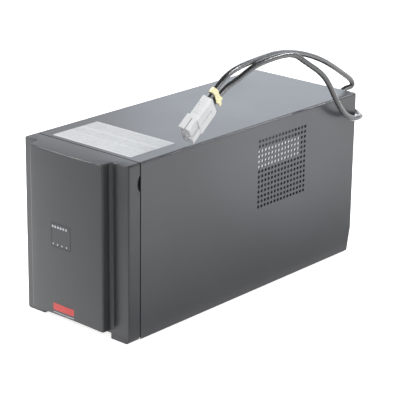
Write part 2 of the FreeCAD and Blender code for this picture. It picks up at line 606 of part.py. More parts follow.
def make_cap(row):
    """Moulded cap over the terminals of one pair, with a skirt down over the blocks."""
    half = CELL_W + CELL_GAP / 2 + CLEAR
    y0, y1 = cell_front(row) - CLEAR, cell_front(row) + CELL_L + CLEAR
    top = cell_bottom() + CELL_H + CAP_ROOM
    low = cell_bottom() + CELL_H - CAP_SKIRT
    outer = rounded_box(-half - CAP_WALL, half + CAP_WALL, y0 - CAP_WALL, y1 + CAP_WALL, low,
                        top + CAP_WALL, 3.0, Z_AXIS)
    edge_top = lambda edge: edge.CenterOfMass.z > top + CAP_WALL - 0.01
    outer = round_edges(outer, 2.0, edge_top)
    inner = box(-half, half, y0, y1, low - 1, top)
    cap = outer.cut(inner)
    seat = CELL_H + cell_bottom()
    for x in (-half + 20, half - 20):
        post = box(x - 3, x + 3, y0 + 20, y1 - 50, seat, top)
        cap = cap.fuse(post)
    holes = [rod(LEAD_HOLE_D / 2, V(x, y - LUG_REACH, top - 1), Z_AXIS, CAP_WALL + 2)
             for x, y in lug_places(row)]
    return cap.cut(Part.makeCompound(holes)).removeSplitter()


def make_spacer():
    """Foam sheet between the front and the rear pair."""
    y0 = cell_front(0) + CELL_L
    return box(-CELL_W + 6, CELL_W - 6, y0, y0 + PAIR_GAP, cell_bottom(),
               cell_bottom() + CELL_H - CAP_SKIRT - 2)


# ---------------------------------------------------------------- rear bracket and fuse

def bracket_y():
    """Front face of the bracket, just behind the rear cap."""
    return last_cell_y() + CLEAR + CAP_WALL + CLEAR


def make_bracket():
    """Bent sheet that stops the cartridges and carries the fuse."""
    y0 = bracket_y()
    profile = [V(0, y0 + BRACKET_FOOT, FLOOR_Z), V(0, y0, FLOOR_Z), V(0, y0, FLOOR_Z + BRACKET_H)]
    bend = 2.4
    path = rounded_path(profile, [bend])
    sheet = path.makeOffset2D(PAN_T, 0, True, True)
    if sheet.BoundBox.YMin < y0 - 0.01:
        sheet = path.makeOffset2D(-PAN_T, 0, True, True)
    sheet.translate(V(-BRACKET_HALF, 0, 0))
    bracket = sheet.Faces[0].extrude(V(2 * BRACKET_HALF, 0, 0))
    upper = lambda edge: along(Y_AXIS)(edge) and edge.CenterOfMass.z > FLOOR_Z + BRACKET_H - 0.1
    bracket = round_edges(bracket, 8.0, upper)
    holes = [rod(SCREW_D / 2 + 0.2, V(x, y, FLOOR_Z - 1), Z_AXIS, 4) for x, y in bracket_screw_places()]
    window = rounded_box(-BRACKET_HALF + 16, BRACKET_HALF - 16, y0 - 1, y0 + 3, FLOOR_Z + 22,
                         FLOOR_Z + 70, 6.0, Y_AXIS)
    return bracket.cut(Part.makeCompound(holes + [window]))


def bracket_screw_places():
    y = bracket_y() + PAN_T + 6.6
    return [(-BRACKET_HALF + 14, y), (0, y), (BRACKET_HALF - 14, y)]


def pan_head(radius, height, head_radius, start, direction, length):
    """A screw with a low domed head; start lies on the face that the head seats on."""
    head = rod(head_radius, start, direction, height)
    far = start + direction * height
    rim = lambda edge: (edge.CenterOfMass - far).Length < 0.01 and len(edge.Vertexes) == 1
    head = round_edges(head, 0.6 * height, rim)
    slot_depth = 0.45 * height
    recess = rod(0.35 * head_radius, far - direction * slot_depth, direction, slot_depth + 1)
    shank = rod(radius, start - direction * length, direction, length + 0.1)
    return head.cut(recess).fuse(shank).removeSplitter()


def make_bracket_screws():
    """Screws through the bracket's foot; their ends stop inside the floor sheet."""
    return Part.makeCompound([pan_head(SCREW_D / 2, REAR_PROUD, SCREW_HEAD_D / 2,
                                       V(x, y, FLOOR_Z + PAN_T), Z_AXIS, PAN_T - 0.1)
                              for x, y in bracket_screw_places()])


def fuse_posts():
    face = bracket_y() + PAN_T + FUSE_BASE_T
    z = FLOOR_Z + FUSE_Z
    return [V(FUSE_X - FUSE_POST_SPAN / 2, face, z), V(FUSE_X + FUSE_POST_SPAN / 2, face, z)]


def make_fuse_base():
    """Moulded block on the bracket with two threaded posts."""
    y0 = bracket_y() + PAN_T
    z = FLOOR_Z + FUSE_Z
    base = rounded_box(FUSE_X - FUSE_W / 2, FUSE_X + FUSE_W / 2, y0, y0 + FUSE_BASE_T,
                       z - FUSE_H / 2, z + FUSE_H / 2, 3.0, Y_AXIS)
    for post in fuse_posts():
        base = base.fuse(rod(FUSE_POST_D / 2, post - V(0, 1, 0), Y_AXIS, FUSE_POST_L + 1))
    return base


def make_fuse_link():
    """Bolt-down strip fuse: two eyes and a necked middle under a small body."""
    left, right = fuse_posts()
    half = 6.0
    strip = rounded_box(left.x - half, right.x + half, left.y, left.y + FUSE_T, left.z - half,
                        left.z + half, half - 0.1, Y_AXIS)
    body = rounded_box(FUSE_X - 9, FUSE_X + 9, left.y, left.y + FUSE_T + 2.5, left.z - half - 1,
                       left.z + half + 1, 2.0, Y_AXIS)
    fuse = strip.fuse(body)
    holes = [rod(FUSE_POST_D / 2 + 0.2, post - V(0, 1, 0), Y_AXIS, FUSE_T + 2) for post in fuse_posts()]
    return fuse.cut(Part.makeCompound(holes)).removeSplitter()


def make_fuse_lugs():
    """Lugs on the fuse posts, each with a barrel that its lead enters from above."""
    lugs = []
    for post in fuse_posts():
        y0 = post.y + FUSE_T
        blade = rounded_box(post.x - 5, post.x + 5, y0, y0 + FUSE_LUG_T, post.z - 5,
                            post.z + FUSE_LUG_UP - 6, 3.0, Y_AXIS)
        blade = blade.cut(rod(FUSE_POST_D / 2 + 0.2, V(post.x, y0 - 1, post.z), Y_AXIS, 4))
        barrel = rod(INNER_LEAD_D / 2 + 0.6, V(post.x, fuse_lead_y(), post.z + FUSE_LUG_UP - 8),
                     Z_AXIS, 8)
        lugs.append(blade.fuse(barrel).removeSplitter())
    return Part.makeCompound(lugs)


def fuse_lead_y():
    return fuse_posts()[0].y + FUSE_T + FUSE_LUG_T / 2 + 1


def make_fuse_nuts():
    nuts = []
    for post in fuse_posts():
        y0 = post.y + FUSE_T + FUSE_LUG_T
        radius = FUSE_NUT_W / math.sqrt(3)
        corners = [V(post.x + radius * math.cos(math.radians(60 * k)), y0,
                     post.z + radius * math.sin(math.radians(60 * k))) for k in range(6)]
        nut = prism(corners, V(0, FUSE_NUT_H, 0))
        nuts.append(nut.cut(rod(FUSE_POST_D / 2 + 0.02, V(post.x, y0 - 1, post.z), Y_AXIS, FUSE_NUT_H + 2)))
    return Part.makeCompound(nuts)


# ---------------------------------------------------------------- leads

def bend_radii(points):
    """Each arc's radius from its two runs and its turn."""
    radii = []
    for before, corner, after in zip(points, points[1:], points[2:]):
        arrive, leave = corner - before, after - corner
        turn = arrive.getAngle(leave)
        radii.append(0.45 * min(arrive.Length, leave.Length) / math.tan(turn / 2))
    return radii


def make_tube(name, points, diameter):
    """Round lead along straight runs joined by tangent arcs."""
    radii = bend_radii(points)
    path = rounded_path(points, radii)
    start = (points[1] - points[0]).normalize()
    section = Part.Wire(Part.makeCircle(diameter / 2, points[0], start))
    tube = path.makePipeShell([section], True, False)
    ideal = math.pi * diameter ** 2 / 4 * path.Length
    print(name, "length", round(path.Length, 1), "volume ratio", round(tube.Volume / ideal, 4),
          "radii", [round(radius, 1) for radius in radii])
    return tube


def inner_routes():
    """Leads inside the cabinet: battery lugs, fuse and strain reliefs."""
    level = BASE_Z + CAP_TOP + INNER_LEAD_UP
    left_post, right_post = [V(post.x, fuse_lead_y(), post.z + FUSE_LUG_UP) for post in fuse_posts()]
    relief_in_y = WALL_REAR_Y - PAN_T - RELIEF_INSIDE
    high, low = relief_heights()
    front_plus, front_minus = lead_start(-1, 0), lead_start(1, 0)
    rear_plus, rear_minus = lead_start(-1, 1), lead_start(1, 1)
    up = lambda point: V(point.x, point.y, level)
    behind_y = relief_in_y - 11
    return {
        "inner_lead_link": [front_minus, up(front_minus), V(0.72 * front_minus.x, front_minus.y + 52, level),
                            V(0.5 * rear_plus.x, rear_plus.y - 62, level), up(rear_plus), rear_plus],
        "inner_lead_positive": [front_plus, up(front_plus),
                                V(front_plus.x - 4.7, front_plus.y + 40, level),
                                V(rear_plus.x - 6.7, rear_plus.y - 40, level),
                                V(rear_plus.x - 8.7, rear_plus.y + 10, level),
                                V(left_post.x - 6, left_post.y - 6, level), V(left_post.x, left_post.y, level - 28),
                                left_post],
        "inner_lead_output": [right_post, V(right_post.x, right_post.y, level - 34),
                              V(right_post.x + 2, right_post.y - 4, level - 8),
                              V(right_post.x + 12, right_post.y - 16, level + 2), V(RELIEF_X - 6, right_post.y - 18, level + 1),
                              V(RELIEF_X, relief_in_y - 9, high), V(RELIEF_X, relief_in_y, high)],
        "inner_lead_negative": [rear_minus, up(rear_minus), V(rear_minus.x + 3, rear_minus.y + 24, level),
                                V(rear_minus.x + 3, behind_y, level - 6), V(rear_minus.x + 1, behind_y, low),
                                V(RELIEF_X, behind_y, low), V(RELIEF_X, relief_in_y, low)],
    }


def relief_tip_y():
    return WALL_REAR_Y + RELIEF_NOSE


def make_relief(z):
    """Moulded strain relief: flange outside, grip inside, tapered nose that the lead leaves."""
    wall_in = WALL_REAR_Y - PAN_T
    neck = rod(RELIEF_NECK_D / 2, V(RELIEF_X, wall_in, z), Y_AXIS, PAN_T)
    flange = rod(RELIEF_FLANGE_D / 2, V(RELIEF_X, WALL_REAR_Y, z), Y_AXIS, RELIEF_FLANGE_T)
    rim = lambda edge: (abs(edge.CenterOfMass.y - WALL_REAR_Y - RELIEF_FLANGE_T) < 0.01
                        and len(edge.Vertexes) == 1)
    flange = round_edges(flange, 0.8, rim)
    nose = Part.makeCone(RELIEF_NECK_D / 2, RELIEF_NOSE_D / 2, RELIEF_NOSE - RELIEF_FLANGE_T,
                         V(RELIEF_X, WALL_REAR_Y + RELIEF_FLANGE_T, z), Y_AXIS)
    grip = rod(RELIEF_FLANGE_D / 2 - 1, V(RELIEF_X, wall_in - RELIEF_INSIDE, z), Y_AXIS, RELIEF_INSIDE)
    return neck.fuse(flange).fuse(nose).fuse(grip).removeSplitter()


def place_connector(shape):
    """Move a shape from the housing's own frame (nose, width, thickness) to its place."""
    turn = FreeCAD.Rotation(CONNECTOR_NOSE, CONNECTOR_WIDTH, V(), "XYZ")
    placed = shape.copy()
    placed.Placement = FreeCAD.Placement(CONNECTOR_AT, turn).multiply(placed.Placement)
    return placed


def connector_point(nose, width, thick):
    turn = FreeCAD.Rotation(CONNECTOR_NOSE, CONNECTOR_WIDTH, V(), "XYZ")
    return CONNECTOR_AT + turn.multVec(V(nose, width, thick))


def contact_widths():
    middle = HOUSING_W / 2
    return [middle - CONTACT_PITCH / 2, middle + CONTACT_PITCH / 2]


def make_housing():
    """Genderless two-pole housing: ribbed grips, hood with two contact cells, two tongues."""
    body = box(0, HOUSING_BODY_L, 0, HOUSING_W, 0, HOUSING_T)
    rear_corner = lambda edge: along(Z_AXIS)(edge) and edge.CenterOfMass.x < 0.01
    body = body.makeChamfer(SHOULDER, [edge for edge in body.Edges if rear_corner(edge)
                                       and edge.CenterOfMass.y > 1])
    lead_long = lambda edge: along(X_AXIS)(edge)
    body = round_edges(body, 0.8, lead_long)
    nose_x = HOUSING_BODY_L - 1
    split = 5.3
    hood = rounded_box(nose_x - 2, HOUSING_L, 0.4, HOUSING_W - 0.4, -HOOD_T, split - 0.4, 0.8, X_AXIS)
    tongue_a = rounded_box(nose_x - 2, HOUSING_L - 0.8, 0.4, HOUSING_W / 2 - 0.6, split + 0.4,
                           HOUSING_T - 1.6, 0.8, X_AXIS)
    tongue_b = rounded_box(nose_x - 2, HOUSING_L - 0.4, HOUSING_W / 2 + 5.8, HOUSING_W - 2.0, split + 0.4,
                           HOUSING_T - 0.6, 0.8, X_AXIS)
    housing = body.fuse(hood).fuse(tongue_a).fuse(tongue_b)
    for width in contact_widths():
        cell = box(nose_x - 8, HOUSING_L + 1, width - 4.2, width + 4.2, -HOOD_T + 1.6, split - 1.4)
        entry = rod(LEAD_D / 2 + CLEAR, V(-1, width, CONTACT_T), X_AXIS, LEAD_IN + 1)
        barrel = rod(3.3 + CLEAR, V(LEAD_IN - 1, width, CONTACT_T), X_AXIS, 15)
        channel = box(LEAD_IN, nose_x, width - 3.0, width + 3.0, 0.9, CONTACT_T)
        housing = housing.cut(cell.fuse(entry).fuse(barrel).fuse(channel))
    for index in range(GRIP_RIBS):
        x = 6.0 + index * GRIP_PITCH
        for face in (0, HOUSING_W):
            groove = rod(0.5, V(x, face, 1.6), Z_AXIS, HOUSING_T - 3.2)
            housing = housing.cut(groove)
    holes = [rod(HOUSING_HOLE_D / 2, V(x, HOUSING_W / 2, -1), Z_AXIS, HOUSING_T + 2)
             for x in (8.0, 27.0)]
    return housing.cut(Part.makeCompound(holes)).removeSplitter()


def make_contacts():
    """Silvered contacts: a barrel for the lead and a flat tongue in the hood's cell."""
    contacts = []
    for width in contact_widths():
        barrel = rod(3.3, V(LEAD_IN, width, CONTACT_T), X_AXIS, 13)
        tongue = rounded_box(LEAD_IN + 9, HOUSING_L - 4, width - 2.7, width + 2.7, 1.2, 2.7, 0.4, Y_AXIS)
        contacts.append(barrel.fuse(tongue).removeSplitter())
    return Part.makeCompound(contacts)


def make_tie():
    """Flat band pulled round both leads behind the connector, with a cut-off tail."""
    inner_r = LEAD_D / 2 + 0.1
    low, high = contact_widths()
    x0 = -TIE_BACK - TIE_W

    def loop(radius):
        middle = box(x0, x0 + TIE_W, low, high, CONTACT_T - radius, CONTACT_T + radius)
        ends = [rod(radius, V(x0, width, CONTACT_T), X_AXIS, TIE_W) for width in (low, high)]
        return middle.fuse(ends[0]).fuse(ends[1])

    band = loop(inner_r + TIE_T).cut(loop(inner_r))
    head_z = CONTACT_T + inner_r
    head = rounded_box(x0 - 0.6, x0 + TIE_W + 0.6, high - 5, high, head_z, head_z + 3.4, 0.8, X_AXIS)
    tail = rounded_box(x0 + 1.2, x0 + TIE_W - 1.2, high - 1, high + TIE_TAIL, head_z + 1.2,
                       head_z + 1.2 + TIE_T, 0.5, Z_AXIS)
    return band.fuse(head).fuse(tail).removeSplitter()


def lead_routes():
    """Chosen points of the two free leads, from the housing round to the strain reliefs.

    The points in between are offsets from the lead corner."""
    at = lambda x, y, z: LEAD_CORNER + V(x, y, z)
    low, high = contact_widths()
    tip_y = relief_tip_y()
    z_high, z_low = relief_heights()
    upper = [connector_point(LEAD_IN, low, CONTACT_T), connector_point(-21, low, CONTACT_T),
             at(5.5, -264.4, 77), at(-1, -230.4, 82), at(-11, -185.4, 81.5), at(-19, -139.4, 76.5),
             at(-23.5, -91.4, 66), at(-26.5, -45.4, 50), at(-29, -7.4, 31.5), at(-31, 16.6, 18),
             at(-32.5, 32.6, 7), at(-34, 40.6, -4), at(-36, 36.6, -13.5), at(-38, 25.1, -16.5),
             V(RELIEF_X, tip_y + 7.5, z_high), V(RELIEF_X, tip_y, z_high)]
    lower = [connector_point(LEAD_IN, high, CONTACT_T), connector_point(-21, high, CONTACT_T),
             at(1, -249.4, 66), at(1, -213.4, 78), at(0.5, -167.4, 81.5), at(2, -135.4, 78.5),
             at(6.5, -114.4, 66), at(11.5, -90.4, 46), at(14.5, -73.9, 28.5), at(16, -63.4, 6),
             at(16, -49.4, -15), at(15, -25.4, -28), at(13, -4.9, -32.5), at(7, 11.6, -33.5),
             at(-8, 21.6, -33), at(-23, 23.1, -33), at(-34.5, 21.6, -34.5),
             V(RELIEF_X, tip_y + 7, z_low), V(RELIEF_X, tip_y, z_low)]
    return {"power_lead_upper": upper, "power_lead_lower": lower}


def make_cover_screws():
    """Screws through the cover's rear lip into the rear wall."""
    return Part.makeCompound([pan_head(SCREW_D / 2, REAR_PROUD, SCREW_HEAD_D / 2, V(x, REAR_Y, z),
                                       Y_AXIS, SCREW_L) for x, z in cover_screw_places()])


# ---------------------------------------------------------------- output

save("cover", make_cover())
save("floor_pan", make_pan())
save("battery_rails", make_rails())
save("foot_pads", make_foot_pads())
save("front_bezel", make_bezel())
save("bezel_studs", make_studs())
save("battery_door", make_door())
save("door_thumbscrews", make_thumbscrews())
for row_name, row in (("front", 0), ("rear", 1)):
    for side_name, side in (("left", -1), ("right", 1)):
        save("battery_" + row_name + "_" + side_name, make_cell(side, row))
    save("series_link_" + row_name, make_links(row))
    save("terminal_cap_" + row_name, make_cap(row))
save("battery_terminals", make_terminals())
save("terminal_bolts", make_terminal_bolts())
save("terminal_lugs", make_lugs())
save("foam_spacer", make_spacer())
save("rear_bracket", make_bracket())
save("bracket_screws", make_bracket_screws())
save("fuse_base", make_fuse_base())
save("fuse_link", make_fuse_link())
save("fuse_lugs", make_fuse_lugs())
save("fuse_nuts", make_fuse_nuts())
for lead_name, route in inner_routes().items():
    save(lead_name, make_tube(lead_name, route, INNER_LEAD_D))
save("strain_relief_upper", make_relief(relief_heights()[0]))
save("strain_relief_lower", make_relief(relief_heights()[1]))
for lead_name, route in lead_routes().items():
    save(lead_name, make_tube(lead_name, route, LEAD_D))
save("connector_housing", place_connector(make_housing()))
save("connector_contacts", place_connector(make_contacts()))
save("lead_tie", place_connector(make_tie()))
save("cover_screws", make_cover_screws())

for node, shape in made.items():
    print(node, shape.ShapeType, len(shape.Solids), shape.isValid(), round(shape.Volume / 1000, 2))
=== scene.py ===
"""Looks of an external battery pack: a charcoal steel cabinet with a moulded front, a side
vent and two stiff leads that loop over its top to a grey two-pole connector."""
import json
import math

import bpy
from mathutils import Matrix, Vector


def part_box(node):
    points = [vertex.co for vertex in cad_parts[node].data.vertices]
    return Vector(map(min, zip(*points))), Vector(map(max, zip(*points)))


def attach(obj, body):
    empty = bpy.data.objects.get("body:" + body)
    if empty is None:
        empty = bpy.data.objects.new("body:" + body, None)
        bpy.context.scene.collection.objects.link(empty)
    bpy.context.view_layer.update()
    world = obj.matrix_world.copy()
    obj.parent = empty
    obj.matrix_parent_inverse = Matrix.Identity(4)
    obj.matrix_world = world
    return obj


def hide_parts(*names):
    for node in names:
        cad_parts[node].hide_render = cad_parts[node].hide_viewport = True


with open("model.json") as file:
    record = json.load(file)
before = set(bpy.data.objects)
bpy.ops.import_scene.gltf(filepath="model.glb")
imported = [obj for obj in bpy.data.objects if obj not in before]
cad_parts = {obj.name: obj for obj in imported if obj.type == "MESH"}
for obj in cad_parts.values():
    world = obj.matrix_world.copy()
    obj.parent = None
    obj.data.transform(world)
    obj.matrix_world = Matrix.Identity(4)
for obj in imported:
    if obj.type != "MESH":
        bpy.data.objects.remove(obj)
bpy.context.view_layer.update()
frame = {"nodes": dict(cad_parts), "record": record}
nodes = frame["nodes"]


# ---------------------------------------------------------------- sizes, in metres

COVER_LOW, COVER_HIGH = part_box("cover")
_, CAP_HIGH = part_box("terminal_cap_front")
BEZEL_GAP = 0.0016      # shadow gap between bezel and cover
LEAD_D = 0.007
HALF_W, TOP_Z, BASE_Z = COVER_HIGH.x, COVER_HIGH.z, COVER_LOW.z
SEAM_Y = COVER_LOW.y - BEZEL_GAP
CAP_SIDE_X = CAP_HIGH.x


# ---------------------------------------------------------------- camera

CAMERA_PLACE = Vector((1.32039, SEAM_Y - 1.31009, BASE_Z + 0.80229))
CAMERA_TURNS = (41.158, 19.27, 0.779)       # azimuth, elevation and roll, in degrees
SENSOR_W, LENS = 36, 151.6608


def make_camera():
    """A long lens from the front right, a little above the cabinet."""
    camera = bpy.data.objects.new("camera", bpy.data.cameras.new("camera"))
    bpy.context.scene.collection.objects.link(camera)
    azimuth, elevation, roll = (math.radians(turn) for turn in CAMERA_TURNS)
    back = Vector((math.sin(azimuth) * math.cos(elevation),
                   -math.cos(azimuth) * math.cos(elevation),
                   math.sin(elevation)))
    level = (-back).cross(Vector((0, 0, 1))).normalized()
    above = level.cross(-back)
    right = level * math.cos(roll) + above * math.sin(roll)
    up = above * math.cos(roll) - level * math.sin(roll)
    camera.matrix_world = Matrix((
        (right.x, up.x, back.x, CAMERA_PLACE.x),
        (right.y, up.y, back.y, CAMERA_PLACE.y),
        (right.z, up.z, back.z, CAMERA_PLACE.z),
        (0, 0, 0, 1)))
    camera.data.sensor_width = SENSOR_W
    camera.data.lens = LENS
    camera.data.clip_end = 20
    bpy.context.scene.camera = camera


make_camera()


# ---------------------------------------------------------------- routes of the leads

LEAD_OUT = Vector((0.0811, 0.7314, 0.6771))     # direction in which the leads leave the housing
TIE_BACK = 0.006                                # how far the tie sits behind its CAD place
UPPER_ROUTE = [
    (0.0908, -0.0837, 0.2687), (0.0932, -0.0617, 0.2891), (0.0890, -0.0372, 0.2961),
    (0.0840, -0.0096, 0.2981), (0.0740, 0.0342, 0.2962), (0.0660, 0.0799, 0.2939),
    (0.0615, 0.1262, 0.2843), (0.0585, 0.1731, 0.2674), (0.0560, 0.2084, 0.2487),
    (0.0540, 0.2331, 0.2339), (0.0530, 0.2475, 0.2253), (0.0523, 0.2555, 0.2179),
    (0.0508, 0.2544, 0.2125), (0.0480, 0.2462, 0.2118), (0.0462, 0.2385, 0.2080),
    (0.0460, 0.2350, 0.2010), (0.0460, 0.2261, 0.2010)]
LOWER_ROUTE = [
    (0.0832, -0.0705, 0.2555), (0.0856, -0.0486, 0.2758), (0.0860, -0.0223, 0.2827),
    (0.0860, 0.0074, 0.2938), (0.0855, 0.0523, 0.2971), (0.0870, 0.0833, 0.2952),
    (0.0915, 0.1008, 0.2821), (0.0965, 0.1282, 0.2638), (0.0995, 0.1419, 0.2460),
    (0.1010, 0.1544, 0.2244), (0.1010, 0.1711, 0.2034), (0.1000, 0.1930, 0.1912),
    (0.0980, 0.2097, 0.1896), (0.0920, 0.2222, 0.1875), (0.0770, 0.2379, 0.1836),
    (0.0620, 0.2424, 0.1861), (0.0505, 0.2400, 0.1835), (0.0460, 0.2331, 0.1830),
    (0.0460, 0.2261, 0.1830)]


# ---------------------------------------------------------------- materials

def map_range(tree, value, low, high, to_low, to_high):
    """Maps a number from one range to another and clamps it there."""
    made = tree.nodes.new("ShaderNodeMapRange")
    tree.links.new(value, made.inputs["Value"])
    for name, number in (("From Min", low), ("From Max", high),
                         ("To Min", to_low), ("To Max", to_high)):
        made.inputs[name].default_value = number
    return made.outputs["Result"]


def math_node(tree, operation, first, second=0.0):
    """Joins two numbers or sockets."""
    made = tree.nodes.new("ShaderNodeMath")
    made.operation = operation
    for socket, value in zip(made.inputs, (first, second)):
        if isinstance(value, bpy.types.NodeSocket):
            tree.links.new(value, socket)
        else:
            socket.default_value = value
    return made.outputs["Value"]


class Finish:
    """A material under construction: a shader with helpers for patterns in object space."""

    def __init__(self, name, color, roughness, metallic=0.0, specular=0.5):
        self.material = bpy.data.materials.new(name)
        self.material.use_nodes = True
        self.tree = self.material.node_tree
        self.shader = next(n for n in self.tree.nodes if n.type == "BSDF_PRINCIPLED")
        self.set("Base Color", (*color, 1))
        self.set("Roughness", roughness)
        self.set("Metallic", metallic)
        self.set("Specular IOR Level", specular)
        self.color = color
        self.coords = self.node("ShaderNodeTexCoord").outputs["Object"]
        self.normal = None

    def set(self, socket, value):
        self.shader.inputs[socket].default_value = value

    def node(self, kind, **inputs):
        made = self.tree.nodes.new(kind)
        for name, value in inputs.items():
            socket = made.inputs[name.replace("_", " ")]
            if isinstance(value, bpy.types.NodeSocket):
                self.tree.links.new(value, socket)
            else:
                socket.default_value = value
        return made

    def noise(self, scale, detail=3.0, stretch=(1, 1, 1), distortion=0.0):
        """Noise with this many cells a metre, stretched along the axes."""
        place = self.node("ShaderNodeMapping", Vector=self.coords, Scale=stretch)
        made = self.node("ShaderNodeTexNoise", Vector=place.outputs["Vector"], Scale=scale,
                         Detail=detail, Distortion=distortion)
        return made.outputs["Fac"]

    def remap(self, value, low, high, to_low, to_high):
        return map_range(self.tree, value, low, high, to_low, to_high)

    def math(self, operation, first, second=0.0):
        return math_node(self.tree, operation, first, second)

    def axis(self, name):
        """One object coordinate, in metres."""
        made = self.node("ShaderNodeSeparateXYZ", Vector=self.coords)
        return made.outputs[name]

    def blend(self, factor, first, second):
        """Colour between two colours or sockets."""
        made = self.tree.nodes.new("ShaderNodeMix")
        made.data_type = "RGBA"
        self.link_or_set(made.inputs["Factor"], factor)
        self.link_or_set(made.inputs[6], first)
        self.link_or_set(made.inputs[7], second)
        return made.outputs[2]

    def link_or_set(self, socket, value):
        if isinstance(value, bpy.types.NodeSocket):
            self.tree.links.new(value, socket)
        else:
            is_color = isinstance(value, tuple) and len(value) == 3
            socket.default_value = (*value, 1) if is_color else value

    def paint(self, color):
        self.tree.links.new(color, self.shader.inputs["Base Color"])

    def roughen(self, value):
        self.tree.links.new(value, self.shader.inputs["Roughness"])

    def bump(self, height, distance, strength=1.0):
        """Adds relief; the distance is in metres."""
        made = self.node("ShaderNodeBump", Height=height, Strength=strength, Distance=distance)
        if self.normal is not None:
            self.tree.links.new(self.normal, made.inputs["Normal"])
        self.normal = made.outputs["Normal"]
        self.tree.links.new(self.normal, self.shader.inputs["Normal"])

    def mottle(self, scale, amount, detail=3.0, stretch=(1, 1, 1)):
        """Varies the colour a little, lighter and darker."""
        darker = tuple(c * (1 - amount) for c in self.color)
        lighter = tuple(c * (1 + amount) for c in self.color)
        spread = self.remap(self.noise(scale, detail, stretch), 0.3, 0.7, 0, 1)
        self.paint(self.blend(spread, darker, lighter))


def powder_coat(name, color, roughness):
    """Satin charcoal paint with a fine orange peel and faint handling marks."""
    finish = Finish(name, color, roughness, specular=0.5)
    finish.mottle(14, 0.05)
    marks = finish.remap(finish.noise(9, 3), 0.3, 0.7, roughness - 0.015, roughness + 0.02)
    finish.roughen(marks)
    finish.bump(finish.noise(1500, 2), 0.00003, 0.5)
    return finish.material


def moulded(name, color, roughness, grain=1800, depth=0.00005, specular=0.45):
    """Injection-moulded plastic with a fine spark-eroded texture."""
    finish = Finish(name, color, roughness, specular=specular)
    finish.mottle(20, 0.04)
    finish.roughen(finish.remap(finish.noise(12, 3), 0.3, 0.7, roughness - 0.015, roughness + 0.03))
    finish.bump(finish.noise(grain, 2), depth, 0.8)
    return finish.material


def plated(name, color, roughness, stretch=(1, 1, 1)):
    """Plated or rolled metal with faint draw lines and cloudy patches."""
    finish = Finish(name, color, roughness, metallic=1.0)
    finish.mottle(40, 0.10)
    lines = finish.noise(500, 3, stretch)
    finish.roughen(finish.remap(lines, 0.3, 0.7, roughness - 0.08, roughness + 0.1))
    finish.bump(lines, 0.00003, 0.5)
    return finish.material


def lead_insulation():
    """Extruded black insulation, semi-gloss, with faint rub marks."""
    finish = Finish("lead_insulation", (0.016, 0.016, 0.018), 0.26, specular=0.7)
    finish.mottle(120, 0.25)
    finish.roughen(finish.remap(finish.noise(250, 4), 0.3, 0.75, 0.22, 0.34))
    finish.bump(finish.noise(700, 3), 0.00008, 0.35)
    finish.set("Coat Weight", 0.5)
    finish.set("Coat Roughness", 0.2)
    return finish.material


def foam_sheet():
    """Closed-cell foam, dull and finely pitted."""
    finish = Finish("foam", (0.05, 0.05, 0.052), 0.9, specular=0.2)
    finish.mottle(200, 0.2)
    finish.bump(finish.noise(1200, 2), 0.0003, 0.8)
    return finish.material


def rules(finish, across, low, high, pitch, share):
    """Evenly spaced bars across an axis, between two places."""
    inside = finish.math("MULTIPLY", finish.math("GREATER_THAN", across, low),
                         finish.math("LESS_THAN", across, high))
    wave = finish.math("FRACT", finish.math("MULTIPLY", across, 1 / pitch))
    return finish.math("MULTIPLY", finish.math("LESS_THAN", wave, share), inside)


def label_paper(name, axis, bands, stretch):
    """White film label with faint broken grey rules, and nothing written on it."""
    paper, ink = (0.52, 0.53, 0.54), (0.36, 0.365, 0.375)
    finish = Finish(name, paper, 0.42, specular=0.45)
    across = finish.axis(axis)
    ruled = 0.0
    for low, high, pitch, share in bands:
        ruled = finish.math("ADD", ruled, rules(finish, across, low, high, pitch, share))
    broken = finish.remap(finish.noise(320, 3, stretch), 0.40, 0.56, 0.15, 0.9)
    cloud = finish.remap(finish.noise(35, 3), 0.35, 0.65, 0.0, 0.12)
    marks = finish.math("ADD", finish.math("MULTIPLY", ruled, broken), cloud)
    finish.paint(finish.blend(marks, paper, ink))
    finish.bump(finish.noise(900, 2), 0.00002, 0.3)
    return finish.material


def printed_ink(name, color):
    """A thin layer of screen-printed ink, a little uneven."""
    finish = Finish(name, color, 0.45, specular=0.4)
    finish.mottle(220, 0.08)
    finish.roughen(finish.remap(finish.noise(400, 3), 0.3, 0.7, 0.38, 0.52))
    return finish.material


FINISHES = {
    "cabinet_paint": powder_coat("cabinet_paint", (0.034, 0.035, 0.040), 0.30),
    "bezel_plastic": moulded("bezel_plastic", (0.028, 0.029, 0.032), 0.30, 1500, 0.00002),
    "zinc_steel": plated("zinc_steel", (0.56, 0.57, 0.58), 0.38, (1, 0.05, 1)),
    "screw_steel": plated("screw_steel", (0.42, 0.42, 0.43), 0.32),
    "battery_case": moulded("battery_case", (0.006, 0.006, 0.0065), 0.6, 1200, specular=0.2),
    "cap_plastic": moulded("cap_plastic", (0.009, 0.009, 0.0095), 0.55, 1400, specular=0.2),
    "lead_metal": plated("lead_metal", (0.28, 0.28, 0.30), 0.5),
    "copper": plated("copper", (0.72, 0.40, 0.26), 0.34),
    "lead_insulation": lead_insulation(),
    "connector_plastic": moulded("connector_plastic", (0.60, 0.605, 0.61), 0.45, 900, 0.00004),
    "contact_silver": plated("contact_silver", (0.34, 0.34, 0.33), 0.35),
    "tie_nylon": moulded("tie_nylon", (0.82, 0.74, 0.46), 0.4, 600, 0.00005),
    "foam": foam_sheet(),
    "rubber_foot": moulded("rubber_foot", (0.02, 0.02, 0.02), 0.75, 900, 0.0001),
    "relief_plastic": moulded("relief_plastic", (0.02, 0.02, 0.021), 0.45, 900),
    "fuse_plastic": moulded("fuse_plastic", (0.05, 0.05, 0.052), 0.5, 900),
}


SLOTS = {part["node"]: part["material_slot"] for part in frame["record"]["subparts"]}


